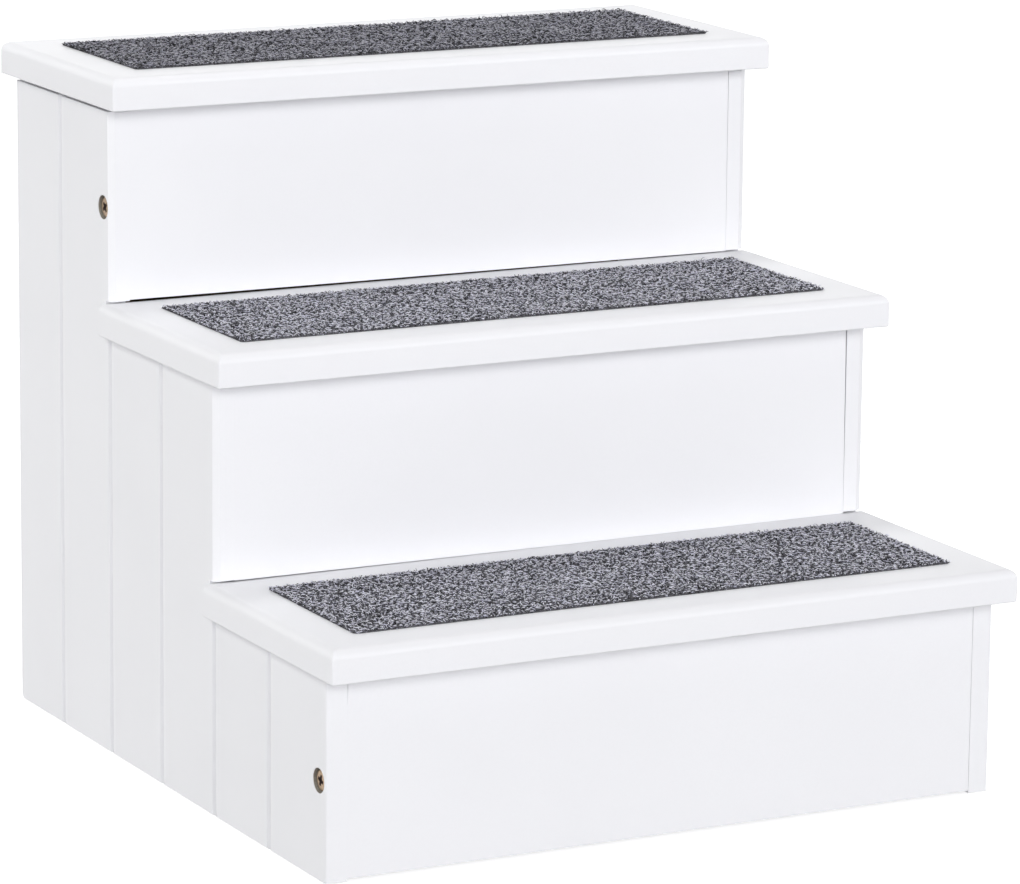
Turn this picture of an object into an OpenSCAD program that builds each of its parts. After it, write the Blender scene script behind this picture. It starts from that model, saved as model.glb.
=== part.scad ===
// Three-step pet stairs in white board: two stepped side panels with planking
// grooves, three risers, three overhanging treads with glued carpet strips,
// two back rails, a thin back board, and the hidden cleats and fasteners that
// hold them together.
//
// +X is the stair's right as seen by somebody in front of it, +Y runs from the
// lowest step to the back, +Z is up. The origin is on the floor, under the
// middle of the stair's outer box.

/* [Overall] */
// Width over the outer faces of the two side panels
panel_span = 400; // [300:5:500]
// Depth of one step, from one riser's front face to the next
going = 137.5; // [125:0.5:170]
// Height of the bottom tread's top above the floor
first_rise = 127.5; // [110:0.25:160]
// Height from one tread's top to the next
rise = 126.75; // [110:0.25:160]
// How far the side panels reach behind the top riser's front face
back_run = 132; // [132:1:180]

/* [Boards] */
// Thickness of the side panels
panel_t = 12; // [10:0.5:15]
// Thickness of the treads
tread_t = 18; // [16:0.5:22]
// Thickness of the risers and back rails
riser_t = 18; // [16:0.5:20]
// Thickness of the back board
back_t = 3; // [2.5:0.5:3]
// Height of each back rail
rail_h = 50; // [40:1:70]
// Height of the lower back rail's bottom edge above the floor
rail_lift = 22; // [10:1:40]

/* [Treads] */
// How far a tread stands out in front of the riser under it
nose = 17; // [8:0.5:25]
// How far a tread stands out past each side panel
side_lip = 5; // [2:0.5:12]
// How far a tread reaches back under the riser above it
tuck = 5.5; // [4:0.5:12]
// Radius of the round along a tread's four top edges
tread_round = 5; // [2:0.5:8]
// Gap between the middle tread and the top riser
top_riser_gap = 1; // [0.3:0.1:2.5]
// Gap between the bottom tread and the middle riser
middle_riser_gap = 0.3; // [0.3:0.1:2.5]
// Gap between the floor and the bottom riser
floor_gap = 1.5; // [0.5:0.1:4]
// Gap between a tread and the side panel's front edge standing over it
panel_gap = 0.8; // [0.3:0.1:2]
// Gap between the top tread and the side panels' top edges
top_gap = 2.8; // [0:0.1:4]

/* [Side panels] */
// Distance from one planking groove to the next
groove_pitch = 68.75; // [50:0.25:90]
// Width of a planking groove at the surface
groove_w = 4.4; // [2:0.2:6]
// Depth of a planking groove
groove_d = 3.6; // [1:0.1:4]

/* [Carpet] */
// Width of a carpet strip
carpet_w = 359; // [250:1:380]
// Depth of a carpet strip
carpet_d = 106; // [70:1:115]
// Height of a carpet strip above the tread
carpet_t = 2.5; // [2:0.5:6]
// Distance from a tread's front edge to its carpet strip
carpet_front = 27; // [20:1:36]

/* [Fasteners] */
// Length of the cleats under the treads
cleat_len = 88; // [70:1:88]
// Width and height of the cleats
cleat_s = 16; // [14:1:20]
// Diameter of the connecting bolt's head
bolt_head_d = 12; // [10:0.5:12.5]
// Diameter of the recess that a bolt head sits in
bolt_recess_d = 13.2; // [12.8:0.1:14]
// Depth of the recess that a bolt head sits in
bolt_recess = 3.6; // [3:0.1:4.5]
// Diameter of the connecting bolt's shank
bolt_d = 6; // [5:0.5:6]
// Length of the connecting bolt's shank
bolt_len = 50; // [45:1:60]
// Distance from a riser's end to its barrel nut's axis
nut_in = 34; // [30:1:36]
// How far the connecting bolts sit below the middle of a riser
bolt_drop = 2.5; // [0:0.5:5]

/* [Hidden] */
$fn = 64;

e = 0.01;
clear = 0.05;                                   // fastener clearance, on the radius
half = panel_span / 2;                          // outer face of a side panel
inner = half - panel_t;                         // inner face of a side panel
panel_depth = 2 * going + back_run;             // front edge to back edge
tread_d = going + nose + tuck;                  // all three treads are alike
tread_w = panel_span + 2 * side_lip;
y_front = -nose;                                // before the shift to the origin
y_back = 2 * going - nose + tread_d;
y_shift = -(y_front + y_back) / 2;
under = [for (k = [0:2]) first_rise + k * rise - tread_t];    // undersides of the treads
plane = [for (k = [0:2]) k * going];            // front faces of the risers
riser_lo = [floor_gap, under[0] + tread_t + middle_riser_gap, under[1] + tread_t + top_riser_gap];
riser_mid = [for (k = [0:2]) (riser_lo[k] + under[k]) / 2];
bolt_z = [for (z = riser_mid) z - bolt_drop];
cleat_y = 21;                                   // cleat's front end behind the riser's face
bolt_y = riser_t / 2;                           // fasteners run in the middle of a riser
dowel_d = 6;
dowel_len = 30;
dowel_in = 8;                                   // part of a dowel that is in the side panel
dowel_rise = 35;                                // riser dowels above and below the middle
rail_dowel_rise = 16;                           // rail dowels above and below the middle
cam_d = 15;
cam_t = 12.5;
cam_in = 24;                                    // cam's axis from the end of its board
nut_d = 10;
nut_len = 14;
rail_lo = [under[2] - rail_h, rail_lift];
rail_y = panel_depth - back_t - riser_t;
rail_mid = [for (z = rail_lo) z + rail_h / 2];
screw_y = [10, cleat_len - 10];                 // tread screws along a cleat
side_screw_y = [28, cleat_len - 28];            // cleat screws along a cleat
pin_d = 1.4;                                    // panel pins through the back board
pin_len = 16;
pin_x = [0.27 * inner, 0.74 * inner];           // pins on either side of the middle

white = [0.95, 0.95, 0.96];
bare = [0.80, 0.68, 0.50];
zinc = [0.72, 0.73, 0.75];
brassy = [0.70, 0.60, 0.38];
grey = [0.38, 0.38, 0.42];

// x, y, z of every fastener that runs across the stair, for the left side:
// the right side is its mirror image.
bolt_at = [for (k = [0, 2]) [plane[k] + bolt_y, bolt_z[k]]];
cam_at = [[plane[1] + bolt_y, riser_mid[1], 1],
          [rail_y + riser_t / 2, rail_mid[0], -1],
          [rail_y + riser_t / 2, rail_mid[1], -1]];
dowel_at = concat(
    [for (k = [0:2], s = [-1, 1]) [plane[k] + bolt_y, riser_mid[k] + s * dowel_rise]],
    [for (k = [0:1], s = [-1, 1]) [rail_y + riser_t / 2, rail_mid[k] + s * rail_dowel_rise]]);

module both() { children(); mirror([1, 0, 0]) children(); }

// A rod along +X from x
module rod_x(x, y, z, r, len) {
    translate([x, y, z]) rotate([0, 90, 0]) cylinder(r = r, h = len);
}

// A shallow cross recess for a driver, cut downwards from z = 0
module cross(span, width, depth) {
    for (a = [0, 90]) rotate([0, 0, a])
        translate([-span / 2, -width / 2, -depth]) cube([span, width, depth + 1]);
}

// The side panel's outline in depth and height
module outline() {
    cut = tuck + 0.3;
    polygon([
        [0, 0], [panel_depth - 3, 0], [panel_depth, 3], [panel_depth, under[2] - top_gap],
        [plane[2], under[2] - top_gap],
        [plane[2], under[1] + tread_t + panel_gap],
        [plane[2] + cut, under[1] + tread_t + panel_gap],
        [plane[2] + cut, under[1]],
        [plane[1], under[1]],
        [plane[1], under[0] + tread_t + panel_gap],
        [plane[1] + cut, under[0] + tread_t + panel_gap],
        [plane[1] + cut, under[0]],
        [0, under[0]]]);
}

// Left side panel: outer face at -half, inner face at -inner
module side_panel() {
    difference() {
        translate([-half, 0, 0]) rotate([90, 0, 90]) linear_extrude(height = panel_t) outline();
        // planking grooves from the floor to the top
        for (k = [1:5]) if (k * groove_pitch < panel_depth - 10)
            translate([-half, k * groove_pitch, -1]) linear_extrude(height = under[2] + 2)
                polygon([[-e, -groove_w / 2], [groove_d, 0], [-e, groove_w / 2]]);
        // eased outer corners of the front and back edges
        translate([-half, 0, -1]) linear_extrude(height = under[2] + 2)
            polygon([[-e, -e], [0.8, -e], [-e, 0.8]]);
        translate([-half, panel_depth, -1]) linear_extrude(height = under[2] + 2)
            polygon([[-e, e], [1.5, e], [-e, -1.5]]);
        // connecting bolts: recess for the head and clearance for the shank
        for (p = bolt_at) {
            rod_x(-half - 1, p[0], p[1], bolt_recess_d / 2, bolt_recess + 1);
            rod_x(-half, p[0], p[1], bolt_d / 2 + 0.25, panel_t + 1);
        }
        // blind holes for the cam bolts' threads and the dowels
        for (p = cam_at) rod_x(-inner - 9, p[0], p[1], 3 + clear, 10);
        for (p = dowel_at) rod_x(-inner - dowel_in - 0.5, p[0], p[1], dowel_d / 2 + clear, 10);
        // pilot holes for the screws through the cleats
        for (k = [0:2], y = side_screw_y)
            rod_x(-inner - 9.2, plane[k] + cleat_y + y, under[k] - cleat_s / 2, 1.75 + clear, 10);
    }
}

module side_panel_left() color(white) translate([0, y_shift, 0]) side_panel();
module side_panel_right() color(white) translate([0, y_shift, 0]) mirror([1, 0, 0]) side_panel();

// A board across the stair, with dowel holes in its ends
module cross_board(y, lo, hi, holes) {
    difference() {
        translate([-inner, y, lo]) cube([2 * inner, riser_t, hi - lo]);
        both() for (z = holes)
            rod_x(-inner - 1, y + riser_t / 2, z, dowel_d / 2 + clear, dowel_len - dowel_in + 1.5);
    }
}

// Bores for a connecting bolt and its barrel nut, at both ends of a riser
module bolt_bores(k) {
    both() {
        rod_x(-inner - 1, plane[k] + bolt_y, bolt_z[k], bolt_d / 2 + 0.5, nut_in + 16);
        translate([-inner + nut_in, plane[k] + riser_t + 1, bolt_z[k]]) rotate([90, 0, 0])
            cylinder(r = nut_d / 2 + clear, h = nut_len + 1);
    }
}

// Bores for a cam lock and its bolt. side = 1 opens at the back, -1 at the front
module cam_bores(p) {
    both() {
        rod_x(-inner - 1, p[0], p[1], 4.0 + clear, cam_in);
        translate([-inner + cam_in, p[0] + p[2] * (riser_t / 2 - cam_t / 2 + 0.5), p[1]]) rotate([90, 0, 0])
            cylinder(r = cam_d / 2 + clear, h = cam_t + 1, center = true);
    }
}

module riser_bottom() color(white) translate([0, y_shift, 0]) difference() {
    cross_board(plane[0], riser_lo[0], under[0], [for (s = [-1, 1]) riser_mid[0] + s * dowel_rise]);
    bolt_bores(0);
}
module riser_middle() color(white) translate([0, y_shift, 0]) difference() {
    cross_board(plane[1], riser_lo[1], under[1], [for (s = [-1, 1]) riser_mid[1] + s * dowel_rise]);
    cam_bores(cam_at[0]);
}
module riser_top() color(white) translate([0, y_shift, 0]) difference() {
    cross_board(plane[2], riser_lo[2], under[2], [for (s = [-1, 1]) riser_mid[2] + s * dowel_rise]);
    bolt_bores(2);
}

// Holes for the panel pins of one rail, from behind the back board
module pin_bores(z) both() for (x = pin_x)
    translate([-x, panel_depth + 1, z]) rotate([90, 0, 0]) cylinder(r = pin_d / 2 + clear, h = pin_len + 1.5);

module back_rail_upper() color(white) translate([0, y_shift, 0]) difference() {
    cross_board(rail_y, rail_lo[0], rail_lo[0] + rail_h, [for (s = [-1, 1]) rail_mid[0] + s * rail_dowel_rise]);
    cam_bores(cam_at[1]);
    pin_bores(rail_mid[0]);
}
module back_rail_lower() color(white) translate([0, y_shift, 0]) difference() {
    cross_board(rail_y, rail_lo[1], rail_lo[1] + rail_h, [for (s = [-1, 1]) rail_mid[1] + s * rail_dowel_rise]);
    cam_bores(cam_at[2]);
    pin_bores(rail_mid[1]);
}

// Back board: between the side panels, flush with their back edges, pinned to the rails
module back_board() color(white) translate([0, y_shift, 0]) difference() {
    translate([-inner + 0.1, panel_depth - back_t, 4]) cube([2 * inner - 0.2, back_t, under[2] - 4.5]);
    for (z = rail_mid) pin_bores(z);
}

// Round along the top edge of a board that runs along +X at y = 0, z = 0
module round_cut(len) {
    difference() {
        translate([-1, -1, -tread_round]) cube([len + 2, tread_round + 1, tread_round + 1]);
        translate([-2, tread_round, -tread_round]) rotate([0, 90, 0])
            cylinder(r = tread_round, h = len + 4);
        translate([-2, tread_round, -tread_round - 1]) cube([len + 4, 2, tread_round + 3]);
    }
}

// One tread: front edge at y = 0, underside at z = 0
module tread_board() {
    difference() {
        translate([-tread_w / 2, 0, 0]) cube([tread_w, tread_d, tread_t]);
        translate([-tread_w / 2, 0, tread_t]) round_cut(tread_w);
        translate([tread_w / 2, tread_d, tread_t]) rotate([0, 0, 180]) round_cut(tread_w);
        translate([-tread_w / 2, tread_d, tread_t]) rotate([0, 0, -90]) round_cut(tread_d);
        translate([tread_w / 2, 0, tread_t]) rotate([0, 0, 90]) round_cut(tread_d);
        // pilot holes for the screws that come up through the cleats
        both() for (y = screw_y)
            translate([-inner + cleat_s / 2, nose + cleat_y + y, -1]) cylinder(r = 2 + clear, h = 15.2);
    }
}

module tread(k) translate([0, y_shift + plane[k] - nose, under[k]]) tread_board();
module tread_bottom() color(white) tread(0);
module tread_middle() color(white) tread(1);
module tread_top() color(white) tread(2);

// One carpet strip, with small round corners
module carpet(k) {
    r = 3;
    translate([-carpet_w / 2, y_shift + plane[k] - nose + carpet_front, under[k] + tread_t])
        linear_extrude(height = carpet_t) union() {
            translate([r, 0]) square([carpet_w - 2 * r, carpet_d]);
            translate([0, r]) square([carpet_w, carpet_d - 2 * r]);
            for (x = [r, carpet_w - r], y = [r, carpet_d - r]) translate([x, y]) circle(r = r);
        }
}
module carpet_bottom() color(grey) carpet(0);
module carpet_middle() color(grey) carpet(1);
module carpet_top() color(grey) carpet(2);

// Left cleat: a batten on the side panel's inner face, right under a tread
module cleat(k) {
    translate([-inner, y_shift + plane[k] + cleat_y, under[k] - cleat_s]) difference() {
        cube([cleat_s, cleat_len, cleat_s]);
        for (y = screw_y) translate([cleat_s / 2, y, 0]) {
            translate([0, 0, -1]) cylinder(r = 2 + 0.15, h = cleat_s + 2);
            translate([0, 0, -e]) cylinder(r1 = 4 + clear, r2 = 2, h = 2.6);
        }
        for (y = side_screw_y) translate([cleat_s, y, cleat_s / 2]) rotate([0, -90, 0]) {
            translate([0, 0, -1]) cylinder(r = 1.75 + 0.15, h = cleat_s + 2);
            translate([0, 0, -e]) cylinder(r1 = 3.5 + clear, r2 = 1.75, h = 2.3);
        }
    }
}
module cleat_bottom_left() color(bare) cleat(0);
module cleat_bottom_right() color(bare) mirror([1, 0, 0]) cleat(0);
module cleat_middle_left() color(bare) cleat(1);
module cleat_middle_right() color(bare) mirror([1, 0, 0]) cleat(1);
module cleat_top_left() color(bare) cleat(2);
module cleat_top_right() color(bare) mirror([1, 0, 0]) cleat(2);

// Flat-head bolt: the seat of its head at z = 0, shank upwards, head downwards
module connecting_bolt() {
    difference() {
        union() {
            cylinder(r = bolt_d / 2, h = bolt_len - 1);
            translate([0, 0, bolt_len - 1]) cylinder(r1 = bolt_d / 2, r2 = bolt_d / 2 - 1, h = 1);
            translate([0, 0, -1.6]) cylinder(r = bolt_head_d / 2, h = 1.6);
            translate([0, 0, -2.3]) cylinder(r1 = bolt_head_d / 2 - 1.2, r2 = bolt_head_d / 2, h = 0.7);
        }
        translate([0, 0, -2.3]) rotate([180, 0, 0]) cross(6.2, 1.3, 2.2);
    }
}
module connecting_bolts() color(brassy) translate([0, y_shift, 0])
    both() for (p = bolt_at)
        translate([-half + bolt_recess, p[0], p[1]]) rotate([0, 90, 0]) connecting_bolt();

// Barrel nut: a short rod through the riser's thickness with a cross bore
module barrel_nuts() color(zinc) translate([0, y_shift, 0])
    both() for (k = [0, 2])
        difference() {
            translate([-inner + nut_in, plane[k] + riser_t, bolt_z[k]]) rotate([90, 0, 0])
                cylinder(r = nut_d / 2, h = nut_len);
            rod_x(-inner + nut_in - 10, plane[k] + bolt_y, bolt_z[k], bolt_d / 2 + clear, 20);
            translate([-inner + nut_in - 6, plane[k] + riser_t - 1.2, bolt_z[k] - 0.75])
                cube([12, 2, 1.5]);
        }

// Cam lock: a drum with a slot for the bolt's neck and head
module cam_lock(p) {
    y = p[0] + p[2] * (riser_t / 2 - cam_t / 2);
    difference() {
        translate([-inner + cam_in, y, p[1]]) rotate([90, 0, 0])
            cylinder(r = cam_d / 2, h = cam_t, center = true);
        // way in for the bolt's head, then the pocket that it turns in
        rod_x(-inner + cam_in - 10, p[0], p[1], 3.4, 11.2);
        // cross recess in the face that shows
        translate([-inner + cam_in, p[0] + p[2] * riser_t / 2, p[1]]) rotate([-90 * p[2], 0, 0])
            cross(8, 1.6, 2.4);
    }
}
module cam_locks() color(zinc) translate([0, y_shift, 0]) both() for (p = cam_at) cam_lock(p);

// Cam bolt: thread in the side panel, collar, neck, and a head in the cam
module cam_bolt() {
    cylinder(r = 3, h = 9);
    translate([0, 0, 9 - e]) cylinder(r = 3.9, h = 2);
    translate([0, 0, 11 - 2 * e]) cylinder(r = 3, h = 12);
    translate([0, 0, 23 - 3 * e]) cylinder(r = 2, h = 4.5);
    translate([0, 0, 27.5 - 4 * e]) cylinder(r = 3, h = 3);
}
module cam_bolts() color(zinc) translate([0, y_shift, 0]) both() for (p = cam_at)
    translate([-inner - 8.9, p[0], p[1]]) rotate([0, 90, 0]) cam_bolt();

module dowels() color(bare) translate([0, y_shift, 0]) both() for (p = dowel_at)
    rod_x(-inner - dowel_in, p[0], p[1], dowel_d / 2, dowel_len);

// Countersunk wood screw: head's face at z = 0, point upwards
module wood_screw(d, head, len) {
    difference() {
        union() {
            cylinder(r1 = head / 2, r2 = d / 2, h = (head - d) / 2 + 0.3);
            cylinder(r = d / 2, h = len - 3);
            translate([0, 0, len - 3]) cylinder(r1 = d / 2, r2 = 0.3, h = 3);
        }
        rotate([180, 0, 0]) cross(head * 0.55, 0.9, 1.2);
    }
}
module tread_screws() color(zinc) translate([0, y_shift, 0]) both() for (k = [0:2], y = screw_y)
    translate([-inner + cleat_s / 2, plane[k] + cleat_y + y, under[k] - cleat_s]) wood_screw(4, 8, 30);
module cleat_screws() color(zinc) translate([0, y_shift, 0]) both() for (k = [0:2], y = side_screw_y)
    translate([-inner + cleat_s, plane[k] + cleat_y + y, under[k] - cleat_s / 2])
        rotate([0, -90, 0]) wood_screw(3.5, 7, 25);

// Panel pin: its head's seat at z = 0, point upwards
module panel_pin() {
    translate([0, 0, -0.6]) cylinder(r = 1.5, h = 0.6);
    cylinder(r = pin_d / 2, h = pin_len - 2);
    translate([0, 0, pin_len - 2]) cylinder(r1 = pin_d / 2, r2 = 0.2, h = 2);
}
module board_pins() color(zinc) translate([0, y_shift, 0]) both() for (z = rail_mid, x = pin_x)
    translate([-x, panel_depth, z]) rotate([90, 0, 0]) panel_pin();

side_panel_left();
side_panel_right();
riser_bottom();
riser_middle();
riser_top();
tread_bottom();
tread_middle();
tread_top();
carpet_bottom();
carpet_middle();
carpet_top();
back_rail_upper();
back_rail_lower();
back_board();
cleat_bottom_left();
cleat_bottom_right();
cleat_middle_left();
cleat_middle_right();
cleat_top_left();
cleat_top_right();
connecting_bolts();
barrel_nuts();
cam_locks();
cam_bolts();
dowels();
tread_screws();
cleat_screws();
board_pins();
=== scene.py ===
"""Looks of the pet stairs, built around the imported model: lacquered boards with eased
edges, planking grooves, machined bolt heads, and carpet strips made of yarn fibres.
Everything is in metres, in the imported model's own frame."""

import math

import bmesh
import bpy
import numpy as np
from mathutils import Matrix, Vector


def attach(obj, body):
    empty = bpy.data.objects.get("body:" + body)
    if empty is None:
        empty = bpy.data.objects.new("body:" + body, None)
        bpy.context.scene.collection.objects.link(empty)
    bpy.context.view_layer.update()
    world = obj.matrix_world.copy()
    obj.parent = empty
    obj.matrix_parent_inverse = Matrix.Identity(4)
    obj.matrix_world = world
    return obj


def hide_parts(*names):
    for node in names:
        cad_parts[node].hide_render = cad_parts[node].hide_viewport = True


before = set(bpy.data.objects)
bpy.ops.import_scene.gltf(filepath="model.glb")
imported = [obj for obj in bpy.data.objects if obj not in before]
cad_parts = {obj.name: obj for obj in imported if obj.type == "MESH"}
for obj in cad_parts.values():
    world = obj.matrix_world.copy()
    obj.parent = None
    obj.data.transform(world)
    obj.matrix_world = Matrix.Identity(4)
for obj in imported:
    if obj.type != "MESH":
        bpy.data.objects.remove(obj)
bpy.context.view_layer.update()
MM = 0.001

# ------------------------------------------------------------------ camera
cam_data = bpy.data.cameras.new("camera")
cam = bpy.data.objects.new("camera", cam_data)
bpy.context.scene.collection.objects.link(cam)
cam_data.sensor_width = 36.0
cam_data.lens = 185.943
cam_data.shift_x = 0.0
cam_data.shift_y = -0.0608
cam_data.clip_start = 0.05
cam_data.clip_end = 100.0
view_x = Vector((0.88650666, -0.46260144, 0.01028774))
view_y = Vector((0.08490872, 0.18449033, 0.97915976))
view_z = view_x.cross(view_y)
turn = Matrix((view_x, view_y, view_z)).transposed().to_4x4()
cam.matrix_world = Matrix.Translation(Vector((-1.32019, -2.53319, 0.80041))) @ turn
bpy.context.scene.camera = cam


# --------------------------------------------------------------- materials
class Nodes:
    """A material's node tree, with short calls to add and link nodes."""

    def __init__(self, name):
        self.mat = bpy.data.materials.new(name)
        self.mat.use_nodes = True
        self.tree = self.mat.node_tree
        self.bsdf = self.tree.nodes["Principled BSDF"]
        self.place = self.tree.nodes.new("ShaderNodeTexCoord").outputs["Object"]

    def add(self, kind, **values):
        node = self.tree.nodes.new(kind)
        for key, value in values.items():
            setattr(node, key, value)
        return node

    def link(self, a, b):
        self.tree.links.new(a, b)

    def mapped(self, scale, turn=(0, 0, 0), shift=(0, 0, 0)):
        node = self.add("ShaderNodeMapping")
        node.inputs["Scale"].default_value = scale
        node.inputs["Rotation"].default_value = turn
        node.inputs["Location"].default_value = shift
        self.link(self.place, node.inputs["Vector"])
        return node.outputs["Vector"]

    def noise(self, scale, detail=2.0, rough=0.5, vector=None, distortion=0.0):
        node = self.add("ShaderNodeTexNoise")
        node.inputs["Scale"].default_value = scale
        node.inputs["Detail"].default_value = detail
        node.inputs["Roughness"].default_value = rough
        node.inputs["Distortion"].default_value = distortion
        self.link(self.place if vector is None else vector, node.inputs["Vector"])
        return node.outputs["Fac"]

    def ranged(self, value, lo, hi, to_lo, to_hi):
        node = self.add("ShaderNodeMapRange")
        for name, number in zip(
            ("From Min", "From Max", "To Min", "To Max"), (lo, hi, to_lo, to_hi)
        ):
            node.inputs[name].default_value = number
        self.link(value, node.inputs["Value"])
        return node.outputs["Result"]

    def ramp(self, value, stops):
        node = self.add("ShaderNodeValToRGB")
        cr = node.color_ramp
        while len(cr.elements) > 2:
            cr.elements.remove(cr.elements[-1])
        for k, (at, colour) in enumerate(stops):
            el = cr.elements[k] if k < 2 else cr.elements.new(at)
            el.position = at
            el.color = (*colour, 1.0)
        self.link(value, node.inputs["Fac"])
        return node.outputs["Color"]

    def mix(self, factor, a, b, blend="MIX"):
        node = self.add("ShaderNodeMix", data_type="RGBA", blend_type=blend)
        for socket, value in ((0, factor), (6, a), (7, b)):
            if isinstance(value, bpy.types.NodeSocket):
                self.link(value, node.inputs[socket])
            elif socket == 0:
                node.inputs[0].default_value = value
            else:
                node.inputs[socket].default_value = (*value, 1.0)
        return node.outputs[2]

    def math(self, op, a, b=None):
        node = self.add("ShaderNodeMath", operation=op)
        for k, value in enumerate((a, b)):
            if isinstance(value, bpy.types.NodeSocket):
                self.link(value, node.inputs[k])
            elif value is not None:
                node.inputs[k].default_value = value
        return node.outputs[0]

    def bump(self, height, strength, distance, after=None):
        node = self.add("ShaderNodeBump")
        node.inputs["Strength"].default_value = strength
        node.inputs["Distance"].default_value = distance
        self.link(height, node.inputs["Height"])
        if after is not None:
            self.link(after, node.inputs["Normal"])
        return node.outputs["Normal"]

    def finish(self, **inputs):
        for name, value in inputs.items():
            socket = self.bsdf.inputs[name.replace("_", " ")]
            if isinstance(value, bpy.types.NodeSocket):
                self.link(value, socket)
            elif isinstance(value, tuple) and len(value) == 3:
                socket.default_value = (*value, 1.0)
            else:
                socket.default_value = value
        return self.mat


WHITE = (0.838, 0.840, 0.866)


def shade(colour, k):
    return tuple(c * k for c in colour)


def lacquer(name, face=True):
    """Satin white lacquer on fibreboard: orange peel, slow tone drift, uneven gloss, and painted shade on
    surfaces that face halfway between up and sideways.
    """
    n = Nodes(name)
    drift = n.noise(7.0, 3.0, 0.55)
    speck = n.noise(900.0, 2.0, 0.6)
    tone = n.mix(
        n.ranged(drift, 0.3, 0.7, 0.0, 1.0), shade(WHITE, 0.985), shade(WHITE, 1.01)
    )
    tone = n.mix(n.ranged(speck, 0.35, 0.75, 0.0, 0.5), tone, shade(WHITE, 0.975))
    # painted shade: the colour is up to 7.5 % darker where the surface faces halfway between up and sideways, as
    # on the treads' routed rounds, to hold down their highlight; thin is the mask of this painted shade
    rise = n.add("ShaderNodeSeparateXYZ")
    n.link(n.add("ShaderNodeTexCoord").outputs["Normal"], rise.inputs[0])
    lift = rise.outputs["Z"]
    level = n.math("SQRT", n.math("MAXIMUM", n.math("SUBTRACT", 1.0, n.math("MULTIPLY", lift, lift)), 0.0))
    thin = n.math("MULTIPLY", n.math("MAXIMUM", lift, 0.0), level)
    tone = n.mix(n.ranged(thin, 0.10, 0.50, 0.0, 1.0), tone, shade(WHITE, 0.925))
    peel = n.noise(650.0 if face else 1500.0, 2.0, 0.5)
    wave = n.noise(55.0, 2.0, 0.5)
    normal = n.bump(wave, 0.10, 0.0006)
    normal = n.bump(peel, 0.10 if face else 0.22, 0.00012, normal)
    gloss = n.ranged(n.noise(24.0, 4.0, 0.6), 0.3, 0.7, 0.34, 0.44)
    if not face:
        gloss = n.ranged(n.noise(60.0, 4.0, 0.6), 0.3, 0.7, 0.44, 0.56)
    return n.finish(
        Base_Color=tone,
        Roughness=gloss,
        Normal=normal,
        Specular_IOR_Level=0.45,
        Coat_Weight=0.12,
        Coat_Roughness=0.22,
    )


def bore_finish(name):
    """Drilled fibreboard: raw wall of a bore, faintly dusted with paint."""
    n = Nodes(name)
    fibre = n.noise(1400.0, 4.0, 0.7, n.mapped((1, 1, 0.4)))
    tone = n.ramp(fibre, [(0.3, (0.20, 0.185, 0.155)), (0.7, (0.36, 0.34, 0.30))])
    return n.finish(
        Base_Color=tone, Roughness=0.85, Normal=n.bump(fibre, 0.5, 0.0002)
    )


def bare_wood(name, along="Y"):
    """Planed softwood with its grain along one axis."""
    n = Nodes(name)
    stretch = {"X": (0.06, 1, 1), "Y": (1, 0.06, 1), "Z": (1, 1, 0.06)}[along]
    v = n.mapped(stretch, shift=(0.013, 0.021, 0.034))
    rings = n.add("ShaderNodeTexWave", wave_type="RINGS", rings_direction=along)
    rings.inputs["Scale"].default_value = 95.0
    rings.inputs["Distortion"].default_value = 5.0
    rings.inputs["Detail"].default_value = 2.0
    rings.inputs["Detail Scale"].default_value = 1.4
    n.link(v, rings.inputs["Vector"])
    pores = n.noise(1100.0, 3.0, 0.6, v)
    tone = n.ramp(
        rings.outputs["Fac"],
        [(0.0, (0.47, 0.32, 0.175)), (0.45, (0.60, 0.44, 0.26)), (1.0, (0.69, 0.53, 0.34))],
    )
    tone = n.mix(n.ranged(pores, 0.4, 0.75, 0.0, 0.55), tone, (0.36, 0.235, 0.125))
    normal = n.bump(pores, 0.35, 0.00025)
    rough = n.ranged(pores, 0.3, 0.7, 0.62, 0.78)
    return n.finish(Base_Color=tone, Roughness=rough, Normal=normal, Specular_IOR_Level=0.35)


def hardboard(name):
    """Pressed wood fibre, bare and brown, with dark flecks and a faint mesh print."""
    n = Nodes(name)
    fibre = n.noise(700.0, 5.0, 0.7)
    fleck = n.noise(260.0, 3.0, 0.75, n.mapped((1, 1, 0.6)))
    tone = n.ramp(
        fibre,
        [(0.30, (0.19, 0.115, 0.062)), (0.52, (0.27, 0.170, 0.095)), (0.75, (0.36, 0.240, 0.145))],
    )
    tone = n.mix(n.ranged(fleck, 0.56, 0.70, 0.0, 0.6), tone, (0.11, 0.065, 0.035))
    weave = n.add("ShaderNodeTexWave", wave_type="BANDS", bands_direction="DIAGONAL")
    weave.inputs["Scale"].default_value = 240.0
    weave.inputs["Distortion"].default_value = 1.2
    n.link(n.place, weave.inputs["Vector"])
    normal = n.bump(fibre, 0.4, 0.00015, n.bump(weave.outputs["Fac"], 0.25, 0.00012))
    return n.finish(
        Base_Color=tone, Roughness=n.ranged(fibre, 0.3, 0.7, 0.62, 0.8), Normal=normal,
        Specular_IOR_Level=0.3,
    )


def zinc(name, yellow=False):
    """Zinc plating: spangled tone, fine turned scratches, and for yellow a warm film."""
    n = Nodes(name)
    cloud = n.noise(420.0, 4.0, 0.65)
    fine = n.noise(2600.0, 3.0, 0.6, n.mapped((1, 0.25, 0.25)))
    if yellow:
        tone = n.ramp(
            cloud,
            [
                (0.25, (0.17, 0.115, 0.065)),
                (0.45, (0.30, 0.215, 0.130)),
                (0.60, (0.38, 0.260, 0.185)),
                (0.78, (0.27, 0.235, 0.150)),
            ],
        )
    else:
        tone = n.ramp(
            cloud, [(0.3, (0.47, 0.48, 0.50)), (0.55, (0.60, 0.61, 0.63)), (0.8, (0.70, 0.71, 0.72))]
        )
    rough = n.ranged(fine, 0.3, 0.7, 0.24, 0.42)
    return n.finish(
        Base_Color=tone, Metallic=1.0, Roughness=rough, Normal=n.bump(fine, 0.12, 0.00006)
    )


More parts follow.
